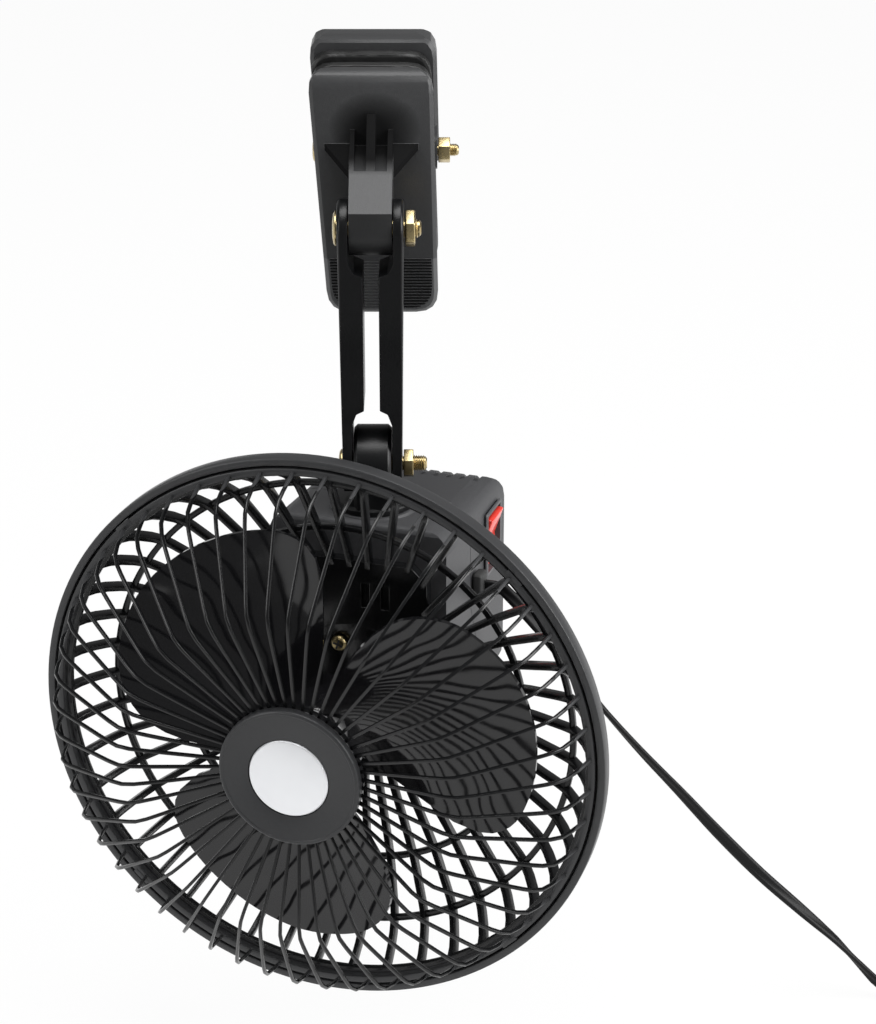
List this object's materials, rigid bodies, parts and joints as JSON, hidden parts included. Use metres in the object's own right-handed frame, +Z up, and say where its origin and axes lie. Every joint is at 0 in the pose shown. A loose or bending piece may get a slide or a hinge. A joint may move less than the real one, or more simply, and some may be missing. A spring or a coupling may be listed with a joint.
{
  "type": "clip-on car fan",
  "caption": "Small clip-on fan: a spring clip, a hinged two-plate arm and a swinging motor head with a caged three-blade fan, on a flat cord with a lighter plug.",
  "frame": {"origin": "middle of the clip's closed grip, between the two rubber pads", "axes": "+Z up, +X to the right and -Y towards the viewer in front of the clip; the arm hangs down and the head is swung 18 degrees to the left"},
  "size_m": [0.438, 0.1561, 0.3165],
  "materials": {
    "shell_black": "black moulded plastic, fine grain",
    "housing_black": "black moulded plastic, satin",
    "blade_gloss": "polished black plastic",
    "pad_rubber": "black rubber",
    "zinc_yellow": "steel with yellow zinc plating",
    "brass_screws": "brass",
    "steel_plain": "plain steel",
    "badge_silver": "satin silver",
    "rocker_red": "red plastic",
    "cord_vinyl": "black soft vinyl"
  },
  "bodies": {
    "clip": {"clip_front_jaw": "shell_black", "clip_front_pad": "pad_rubber", "clip_pivot_bolt": "zinc_yellow", "clip_pivot_nut": "zinc_yellow", "clip_spring": "steel_plain"},
    "rear_jaw": {"clip_rear_jaw": "shell_black", "clip_rear_pad": "pad_rubber"},
    "arm": {"arm_left_plate": "shell_black", "arm_right_plate": "shell_black", "arm_upper_bolt": "zinc_yellow", "arm_upper_nut": "zinc_yellow", "arm_lower_bolt": "zinc_yellow", "arm_lower_nut": "zinc_yellow"},
    "neck": {"neck_lug": "shell_black", "swivel_washer": "steel_plain", "swing_lever": "steel_plain", "lever_screw": "steel_plain"},
    "rotor": {"fan_blades": "blade_gloss", "motor_shaft": "steel_plain"},
    "rocker": {"switch_rocker": "rocker_red"},
    "crank": {"crank_disc": "shell_black"},
    "link": {"drive_link": "steel_plain"},
    "head": {"front_guard": "shell_black", "hub_cap": "housing_black", "hub_badge": "badge_silver", "rear_guard": "shell_black", "motor_can": "steel_plain", "motor_screw_upper": "brass_screws", "motor_screw_lower": "brass_screws", "housing_front_shell": "housing_black", "housing_rear_shell": "housing_black", "housing_screw_left": "steel_plain", "housing_screw_right": "steel_plain", "switch_body": "shell_black", "gearbox": "shell_black", "cord_gland": "pad_rubber", "cord_lead": "cord_vinyl", "cord_coil": "cord_vinyl", "cord_tie": "pad_rubber", "plug_body": "shell_black", "plug_tip": "steel_plain", "plug_contact_front": "steel_plain", "plug_contact_back": "steel_plain"}
  },
  "joints": [
    {"name": "jaw_hinge", "type": "hinge", "parent": "clip", "child": "rear_jaw", "pos_m": [0, 0, -0.02], "axis": [-1, 0, 0], "range_deg": [0, 20], "stiffness_Nm_per_rad": 1, "springref_deg": -40.11, "deforming": ["clip_spring"]},
    {"name": "arm_hinge", "type": "hinge", "parent": "clip", "child": "arm", "pos_m": [0, -0.031, -0.0354], "axis": [-1, 0, 0], "range_deg": [-12, 100]},
    {"name": "head_tilt", "type": "hinge", "parent": "arm", "child": "neck", "pos_m": [0, -0.031, -0.1112], "axis": [-1, 0, 0], "range_deg": [-50, 40]},
    {"name": "head_swing", "type": "hinge", "parent": "neck", "child": "head", "pos_m": [0, -0.031, -0.15], "axis": [0, 0, 1], "range_deg": [-21.8, 58.2]},
    {"name": "blade_spin", "type": "hinge", "parent": "head", "child": "rotor", "pos_m": [-0.01646, -0.08106, -0.18], "axis": [0.3123, 0.95, 0], "continuous": true},
    {"name": "rocker_tip", "type": "hinge", "parent": "head", "child": "rocker", "pos_m": [0.03574, -0.01033, -0.1455], "axis": [0.3123, 0.95, 0], "range_deg": [-18, 0]},
    {"name": "crank_turn", "type": "hinge", "parent": "head", "child": "crank", "pos_m": [0.00978, -0.00127, -0.148], "axis": [0, 0, 1], "continuous": true},
    {"name": "link_turn", "type": "hinge", "parent": "crank", "child": "link", "pos_m": [0.00803, -0.00659, -0.141], "axis": [0, 0, 1], "continuous": true}
  ],
  "couplings": [
    {"joint": "link_turn", "follows": "crank_turn", "ratio": -1}
  ]
}
